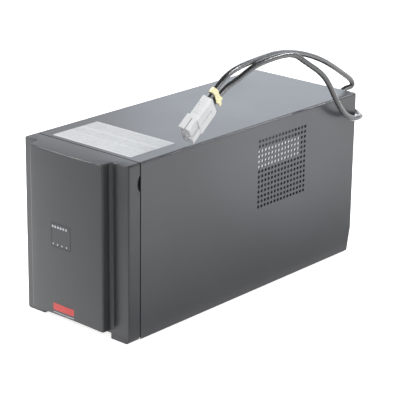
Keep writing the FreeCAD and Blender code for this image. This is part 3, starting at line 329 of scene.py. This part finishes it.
def dress_nodes():
    """Every node that came with the frame takes the finish that the record names for it."""
    for node, slot in SLOTS.items():
        nodes[node].data.materials.clear()
        nodes[node].data.materials.append(FINISHES[slot])


dress_nodes()


# ---------------------------------------------------------------- folded and moulded edges

CAD_BEND, BEND = 0.005, 0.0028              # bends of the cover and the bezel's upper corners
CAD_FOOT_R, FOOT_R = 0.008, 0.0045          # lower outer corners of the bezel
WING_Y = SEAM_Y - 0.018                     # front of the wings
CAD_COVE_R, COVE_R = 0.008, 0.004
CAD_PANEL_HALF, PANEL_HALF = 0.061, 0.059
PANEL_OUT = 0.0055                          # how much further the panel stands out
PANEL_BOTTOM_Z = BASE_Z + 0.0095
PANEL_LIFT, PANEL_ARCH = 0.0021, 0.0027     # underside of the panel: higher, and arched
ARCH_Z, ARCH_DROP = BASE_Z + 0.007, 0.0015
FOOT_DROP = 0.0015                          # the feet reach below the cabinet's underside
WING_RAKE = 0.002                           # the wings lean out towards the panel
NEAR = 0.0001                               # two places this close are the same


def toward(value, fixed, factor):
    """Scales the distance between a value and a fixed place."""
    return fixed + (value - fixed) * factor


def tight_upper_corner(x, z):
    """Folds the sheet over a smaller radius, seen at the right side."""
    if x > HALF_W - CAD_BEND - NEAR and z > TOP_Z - CAD_BEND - NEAR:
        return toward(x, HALF_W, BEND / CAD_BEND), toward(z, TOP_Z, BEND / CAD_BEND)
    return x, z


def bezel_place(x, y, z):
    """Where a point of the right half of the bezel comes to lie."""
    x, z = tight_upper_corner(x, z)
    if x > HALF_W - CAD_FOOT_R - NEAR and z < BASE_Z + CAD_FOOT_R + NEAR:
        x, z = toward(x, HALF_W, FOOT_R / CAD_FOOT_R), toward(z, BASE_Z, FOOT_R / CAD_FOOT_R)
    if x > PANEL_HALF - 0.0035 and z < BASE_Z + FOOT_R:
        z -= FOOT_DROP * (1 - (z - BASE_Z) / FOOT_R)
    if x < PANEL_HALF and abs(z - ARCH_Z) < NEAR:
        z -= ARCH_DROP
    if y < WING_Y + 0.003 and abs(z - PANEL_BOTTOM_Z - 0.0015) < 0.0016:
        z += PANEL_LIFT + PANEL_ARCH * max(0, 1 - (x / PANEL_HALF) ** 2)
    if y < WING_Y - CAD_COVE_R - NEAR:
        x *= PANEL_HALF / CAD_PANEL_HALF
        y -= PANEL_OUT
    elif y < WING_Y + 0.0021 and x > PANEL_HALF - 0.001:
        if x < CAD_PANEL_HALF + CAD_COVE_R + NEAR:
            x = toward(x, CAD_PANEL_HALF, COVE_R / CAD_COVE_R) - CAD_PANEL_HALF + PANEL_HALF
            y = toward(y, WING_Y, COVE_R / CAD_COVE_R)
        y -= WING_RAKE * (HALF_W - x) / (HALF_W - PANEL_HALF)
    return x, y, z


def move_points(piece, place):
    """Moves each point of a symmetric piece, given its place on the right side."""
    for vertex in piece.data.vertices:
        side = math.copysign(1, vertex.co.x)
        x, y, z = place(abs(vertex.co.x), vertex.co.y, vertex.co.z)
        vertex.co = (side * x, y, z)
    piece.data.update()


def activate(piece):
    """Makes one piece the only selected and active object."""
    bpy.ops.object.select_all(action="DESELECT")
    piece.select_set(True)
    bpy.context.view_layer.objects.active = piece


def fresh_normals(piece, angle):
    """Welds the mesh and shades it smooth up to an angle."""
    activate(piece)
    bpy.ops.object.mode_set(mode="EDIT")
    bpy.ops.mesh.select_all(action="SELECT")
    bpy.ops.mesh.remove_doubles(threshold=0.000005)
    bpy.ops.mesh.customdata_custom_splitnormals_clear()
    bpy.ops.object.mode_set(mode="OBJECT")
    bpy.ops.object.shade_smooth_by_angle(angle=math.radians(angle))


def cover_place(x, y, z):
    """Where a point of the right half of the cover comes to lie."""
    x, z = tight_upper_corner(x, z)
    return x, y, z


def refined(name, node):
    """A new piece that starts from a CAD node's form and takes its place."""
    piece = bpy.data.objects.new(name, nodes[node].data.copy())
    bpy.context.scene.collection.objects.link(piece)
    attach(piece, "root")
    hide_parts(node)
    return piece


cover_piece = refined("folded_cover", "cover")
move_points(cover_piece, cover_place)
bezel_piece = refined("moulded_front", "front_bezel")
move_points(bezel_piece, bezel_place)
fresh_normals(bezel_piece, 28)
tie_piece = refined("wire_tie", "lead_tie")
for vertex in tie_piece.data.vertices:
    vertex.co += TIE_BACK * LEAD_OUT
tie_piece.data.update()


# ---------------------------------------------------------------- leads

def joined(name, pieces):
    """One piece made of several, fixed to the cabinet."""
    activate(pieces[0])
    for piece in pieces:
        piece.select_set(True)
    bpy.ops.object.join()
    whole = bpy.context.object
    whole.name = name
    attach(whole, "root")
    return whole


HOUSING_CORNER = Vector((HALF_W + 0.0046, -0.0871, TOP_Z + 0.0605))     # its rear upper corner
HOUSING_AXES = [-LEAD_OUT, Vector((-0.3780, 0.6511, -0.6581)), Vector((0.9222, 0.2026, -0.3293))]
HOUSING_W, HOUSING_T = 0.0366, 0.0129
# dark dashes that paint the shade of a broken groove on the connector housing
DASH_PLACES = (0.0118, 0.0148, 0.0178, 0.0208, 0.0238, 0.0312)          # along the housing
DASH_SIZE, DASH_BEVEL = (0.0021, 0.0009, 0.0001), 0.00004               # length, width, height


def make_groove_shade_dashes():
    """Dark dashes on the line of a broken groove between the two holes on the housing's broad face:
    painted shade of the groove, which is not cut in.
    """
    turn = Matrix([[axis[row] for axis in HOUSING_AXES] for row in range(3)]).to_4x4()
    place = Matrix.Translation(HOUSING_CORNER) @ turn
    dashes = []
    for along in DASH_PLACES:
        bpy.ops.object.select_all(action="DESELECT")
        bpy.ops.mesh.primitive_cube_add(size=1, location=(along, HOUSING_W / 2, HOUSING_T))
        dash = bpy.context.object
        dash.scale = DASH_SIZE
        bpy.ops.object.transform_apply(location=True, rotation=True, scale=True)
        bpy.ops.object.mode_set(mode="EDIT")
        bpy.ops.mesh.select_all(action="SELECT")
        bpy.ops.mesh.bevel(offset=DASH_BEVEL, segments=1, affect="EDGES")
        bpy.ops.object.mode_set(mode="OBJECT")
        dash.data.transform(place)
        # the black finish on these barely raised dashes is painted shade standing for the groove's
        # recess
        dash.data.materials.append(FINISHES["rubber_foot"])
        dashes.append(dash)
    return joined("groove_shade_dashes", dashes)


def make_lead(name, route, node):
    """A stiff round lead on one smooth line from its strain relief to the connector."""
    curve = bpy.data.curves.new(name, "CURVE")
    curve.dimensions = "3D"
    curve.bevel_depth = LEAD_D / 2
    curve.bevel_resolution = 6
    curve.resolution_u = 16
    curve.use_fill_caps = True
    spline = curve.splines.new("NURBS")
    points = route[::-1]
    spline.points.add(len(points) - 1)
    for control, place in zip(spline.points, points):
        control.co = (*place, 1)
    spline.order_u = 3
    spline.use_endpoint_u = True
    lead = bpy.data.objects.new(name, curve)
    bpy.context.scene.collection.objects.link(lead)
    curve.materials.append(FINISHES["lead_insulation"])
    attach(lead, "root")
    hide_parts(node)
    return lead


groove_shade_dashes = make_groove_shade_dashes()
make_lead("upper_lead", UPPER_ROUTE, "power_lead_upper")
make_lead("lower_lead", LOWER_ROUTE, "power_lead_lower")


# ---------------------------------------------------------------- labels and front marks

FILM_T = 0.00012                    # thickness of a label
FRONT_FILM_STEP = 0.003             # widest strip of the front print between two cuts
FRONT_FILM_T = 0.00016              # how far the front print reaches out from the panel


def label_plate(name, centre, size, rotation, corner, material):
    """A thin film with round corners, laid on a flat face."""
    bpy.ops.object.select_all(action="DESELECT")
    bpy.ops.mesh.primitive_plane_add(size=1, location=centre, rotation=rotation)
    piece = bpy.context.object
    piece.name = name
    piece.scale = (*size, 1)
    bpy.ops.object.transform_apply(location=False, rotation=False, scale=True)
    bpy.ops.object.mode_set(mode="EDIT")
    bpy.ops.mesh.select_all(action="SELECT")
    bpy.ops.mesh.bevel(offset=corner, segments=5, affect="VERTICES")
    bpy.ops.mesh.select_all(action="SELECT")
    bpy.ops.mesh.extrude_region_move(
        TRANSFORM_OT_translate={"value": (0, 0, -FILM_T), "orient_type": "LOCAL"})
    bpy.ops.mesh.select_all(action="SELECT")
    bpy.ops.mesh.normals_make_consistent(inside=False)
    bpy.ops.object.mode_set(mode="OBJECT")
    bpy.ops.object.transform_apply(location=True, rotation=True, scale=True)
    piece.data.materials.append(material)
    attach(piece, "root")
    return piece


UPRIGHT = (0, math.pi / 2, 0)
TOP_RULES = [(SEAM_Y + 0.011, SEAM_Y + 0.034, 0.0044, 0.40),       # from, to, pitch, share inked
             (SEAM_Y + 0.036, SEAM_Y + 0.053, 0.0021, 0.60),
             (SEAM_Y + 0.058, SEAM_Y + 0.079, 0.0021, 0.60)]
top_label_paper = label_paper("top_label_film", "Y", TOP_RULES, (0.5, 2.5, 1))
label_plate("top_label", (-0.0007, SEAM_Y + 0.0453, TOP_Z + FILM_T), (0.1275, 0.0754),
            (0, 0, 0), 0.002, top_label_paper)
side_label_paper = label_paper("battery_label_film", "Z", [(0.162, 0.166, 0.002, 0.4)],
                               (1, 0.5, 2.5))
label_plate("battery_label", (CAP_SIDE_X + FILM_T, 0.0640, 0.1697), (0.0256, 0.096),
            UPRIGHT, 0.002, side_label_paper)
label_plate("battery_strip", (CAP_SIDE_X + FILM_T, 0.0560, 0.1902), (0.0140, 0.080),
            UPRIGHT, 0.001, printed_ink("strip_film", (0.045, 0.045, 0.048)))


def front_film(name, left, right, low, high, corner, material):
    """A printed field that follows the bow of the front panel."""
    bpy.ops.object.select_all(action="DESELECT")
    centre = ((left + right) / 2, SEAM_Y - 0.06, (low + high) / 2)
    bpy.ops.mesh.primitive_plane_add(size=1, location=centre, rotation=(math.pi / 2, 0, 0))
    piece = bpy.context.object
    piece.name = name
    piece.scale = (right - left, high - low, 1)
    bpy.ops.object.transform_apply(location=True, rotation=True, scale=True)
    bpy.ops.object.mode_set(mode="EDIT")
    bpy.ops.mesh.select_all(action="SELECT")
    if corner:
        bpy.ops.mesh.bevel(offset=corner, segments=4, affect="VERTICES")
    steps = max(2, round((right - left) / FRONT_FILM_STEP))
    for index in range(1, steps):
        cut = left + (right - left) * index / steps
        bpy.ops.mesh.select_all(action="SELECT")
        bpy.ops.mesh.bisect(plane_co=(cut, 0, 0), plane_no=(1, 0, 0))
    bpy.ops.object.mode_set(mode="OBJECT")
    wrap = piece.modifiers.new("wrap", "SHRINKWRAP")
    wrap.target = bezel_piece
    wrap.wrap_method = "PROJECT"
    wrap.use_project_y = True
    wrap.use_positive_direction = True
    wrap.use_negative_direction = False
    bpy.ops.object.modifier_apply(modifier="wrap")
    bpy.ops.object.mode_set(mode="EDIT")
    bpy.ops.mesh.select_all(action="SELECT")
    bpy.ops.transform.translate(value=(0, -FRONT_FILM_T, 0))
    bpy.ops.mesh.extrude_region_move(TRANSFORM_OT_translate={"value": (0, FRONT_FILM_T / 2, 0)})
    bpy.ops.mesh.select_all(action="SELECT")
    bpy.ops.mesh.normals_make_consistent(inside=False)
    bpy.ops.object.mode_set(mode="OBJECT")
    piece.data.materials.clear()
    piece.data.materials.append(material)
    return piece


WINDOW = (-0.0218, 0.0100, BASE_Z + 0.0995, BASE_Z + 0.1295)        # left, right, low, high
WINDOW_LINE = 0.0008
RED_BAR = (-0.0205, 0.0145, BASE_Z + 0.0195, BASE_Z + 0.0282)
PALE_LINE = (-0.0205, 0.0145, BASE_Z + 0.0164, BASE_Z + 0.0174)


def tick_row(count, pitch, start, end, low, high):
    """A row of short blank marks, placed from the window's left edge."""
    left = WINDOW[0]
    return [(left + pitch * index + start, left + pitch * index + end, low, high)
            for index in range(count)]


def make_front_marks():
    """A thin dark window line with pale ticks, and a red bar over a thin pale line."""
    dark = printed_ink("dark_ink", (0.008, 0.008, 0.009))
    pale = printed_ink("pale_ink", (0.42, 0.43, 0.45))
    red = printed_ink("red_ink", (0.50, 0.06, 0.055))
    left, right, low, high = WINDOW
    line = WINDOW_LINE
    edges = [(left, right, high - line, high), (left, right, low, low + line),
             (left, left + line, low + line, high - line),
             (right - line, right, low + line, high - line)]
    joined("window_line", [front_film("window_edge", *edge, 0, dark) for edge in edges])
    ticks = tick_row(6, 0.0045, 0.001, 0.0038, high - 0.0062, high - 0.0034)
    ticks += tick_row(4, 0.0075, 0.002, 0.0038, low + 0.0026, low + 0.0046)
    joined("window_ticks", [front_film("tick", *tick, 0.0004, pale) for tick in ticks])
    joined("red_bar", [front_film("bar", *RED_BAR, 0.002, red)])
    joined("pale_line", [front_film("line", *PALE_LINE, 0, pale)])


make_front_marks()


# ---------------------------------------------------------------- floor and light

# Each range below maps a place in metres to a brightness: from, to, brightness there.
CAMERA_GLOW = 0.8                           # keeps the floor near white where the camera sees it
RIGHT_SIDE = (0.07, 0.11, 0, 1)             # by X: where the floor's right side begins
LEFT_GLOW = (-0.70, -0.25, 0.50, 1.35)      # by Y: mirrored in the front, brighter near it
RIGHT_GLOW = (0.10, 0.42, 0.30, 1.30)       # by X: mirrored in the right side, brighter far off
FRONT_FADE = (-0.38, -0.10, 0.05, 1)        # by Y: keeps the coves dark
SKY_BAND = (0.36, 0.52, 1.25, 0.12)         # by height: mirrored in the top
FLOOR_SIZE, FLOOR_CENTRE = 14, (0, 2, 0)


def make_stage():
    """A wide pale floor that keeps the shadow and grades what the cabinet mirrors."""
    bpy.ops.object.select_all(action="DESELECT")
    bpy.ops.mesh.primitive_plane_add(size=FLOOR_SIZE, location=FLOOR_CENTRE)
    floor = bpy.context.object
    floor.name = "floor"
    bpy.ops.object.transform_apply(location=True, rotation=True, scale=True)
    material = bpy.data.materials.new("pale_floor")
    material.use_nodes = True
    tree = material.node_tree
    tree.nodes.clear()
    output = tree.nodes.new("ShaderNodeOutputMaterial")
    diffuse = tree.nodes.new("ShaderNodeBsdfDiffuse")
    diffuse.inputs["Color"].default_value = (0.8, 0.8, 0.8, 1)
    glow = tree.nodes.new("ShaderNodeEmission")
    glow.inputs["Color"].default_value = (1, 1, 1, 1)
    rays = tree.nodes.new("ShaderNodeLightPath")
    place = tree.nodes.new("ShaderNodeSeparateXYZ")
    tree.links.new(tree.nodes.new("ShaderNodeTexCoord").outputs["Object"], place.inputs["Vector"])
    right_side = map_range(tree, place.outputs["X"], *RIGHT_SIDE)
    left_side = map_range(tree, right_side, 0, 1, 1, 0)
    left_level = map_range(tree, place.outputs["Y"], *LEFT_GLOW)
    right_level = math_node(tree, "MULTIPLY",
                            map_range(tree, place.outputs["X"], *RIGHT_GLOW),
                            map_range(tree, place.outputs["Y"], *FRONT_FADE))
    mirrored = math_node(tree, "ADD", math_node(tree, "MULTIPLY", right_side, right_level),
                         math_node(tree, "MULTIPLY", left_side, left_level))
    seen = map_range(tree, rays.outputs["Is Camera Ray"], 0, 1, 0, CAMERA_GLOW)
    level = math_node(tree, "ADD", seen,
                      math_node(tree, "MULTIPLY", rays.outputs["Is Glossy Ray"], mirrored))
    tree.links.new(level, glow.inputs["Strength"])
    both = tree.nodes.new("ShaderNodeAddShader")
    tree.links.new(diffuse.outputs["BSDF"], both.inputs[0])
    tree.links.new(glow.outputs["Emission"], both.inputs[1])
    tree.links.new(both.outputs["Shader"], output.inputs["Surface"])
    floor.data.materials.append(material)


def background(tree, color, strength=1.0):
    """A world shader of one colour."""
    made = tree.nodes.new("ShaderNodeBackground")
    made.inputs["Color"].default_value = (*color, 1)
    made.inputs["Strength"].default_value = strength
    return made


def mixed(tree, factor, first, second):
    """Goes from the first shader to the second as the factor rises."""
    made = tree.nodes.new("ShaderNodeMixShader")
    for socket, source in zip(made.inputs, (factor, first, second)):
        tree.links.new(source, socket)
    return made.outputs["Shader"]


def make_world():
    """White where the camera sees it, soft light, and a bright low band in reflections."""
    world = bpy.data.worlds.new("studio")
    world.use_nodes = True
    tree = world.node_tree
    tree.nodes.clear()
    output = tree.nodes.new("ShaderNodeOutputWorld")
    lit = background(tree, (0.97, 0.98, 1.0), 0.32)
    white = background(tree, (1, 1, 1))
    mirrored = background(tree, (0.93, 0.96, 1.0))
    height = tree.nodes.new("ShaderNodeSeparateXYZ")
    tree.links.new(tree.nodes.new("ShaderNodeTexCoord").outputs["Object"], height.inputs["Vector"])
    tree.links.new(map_range(tree, height.outputs["Z"], *SKY_BAND), mirrored.inputs["Strength"])
    rays = tree.nodes.new("ShaderNodeLightPath").outputs
    seen = math_node(tree, "MAXIMUM", rays["Is Camera Ray"], rays["Is Transmission Ray"])
    reflected = mixed(tree, rays["Is Glossy Ray"], lit.outputs["Background"],
                      mirrored.outputs["Background"])
    whole = mixed(tree, seen, reflected, white.outputs["Background"])
    tree.links.new(whole, output.inputs["Surface"])
    bpy.context.scene.world = world


def aimed(light, name, place, target):
    """Hangs a lamp at a place and turns it to a target."""
    lamp = bpy.data.objects.new(name, light)
    bpy.context.scene.collection.objects.link(lamp)
    lamp.location = place
    lamp.rotation_euler = (Vector(target) - Vector(place)).to_track_quat("-Z", "Y").to_euler()


def softbox(name, place, target, size, power, color=(1, 1, 1)):
    """A rectangular area light, with its power in watts."""
    light = bpy.data.lights.new(name, "AREA")
    light.shape = "RECTANGLE"
    light.size, light.size_y = size
    light.energy = power
    light.color = color
    aimed(light, name, place, target)


def vent_spot():
    """A narrow beam beside the camera that reaches the battery label through the vent."""
    light = bpy.data.lights.new("vent_spot", "SPOT")
    light.energy = 265
    light.spot_size = math.radians(6.5)
    light.spot_blend = 0.9
    light.shadow_soft_size = 0.03
    aimed(light, "vent_spot", CAMERA_PLACE, (HALF_W, 0.064, 0.172))


make_stage()
make_world()
# name, place, target, size, power and colour
softbox("key", (-0.9, -1.9, 1.25), (0, 0, 0.12), (0.9, 0.9), 20)
softbox("camera_fill", CAMERA_PLACE + Vector((0, 0, 0.25)), (0, 0, 0.2), (0.25, 0.25), 5)
softbox("right_fill", (2.0, 0.35, 0.9), (0, 0, 0.15), (0.8, 0.8), 15)
softbox("overhead", (-1.05, -0.62, 1.36), (0, -0.15, 0.2), (1.0, 0.35), 21)
softbox("rear_right", (0.7, 1.7, 1.5), (0.05, 0, 0.2), (0.3, 0.3), 15)
softbox("rear_sheen", (-1.15, 2.1, 0.95), (0.05, 0.1, 0.21), (1.5, 0.9), 5, (0.80, 0.89, 1.0))
vent_spot()

bpy.context.scene.view_settings.view_transform = "Standard"
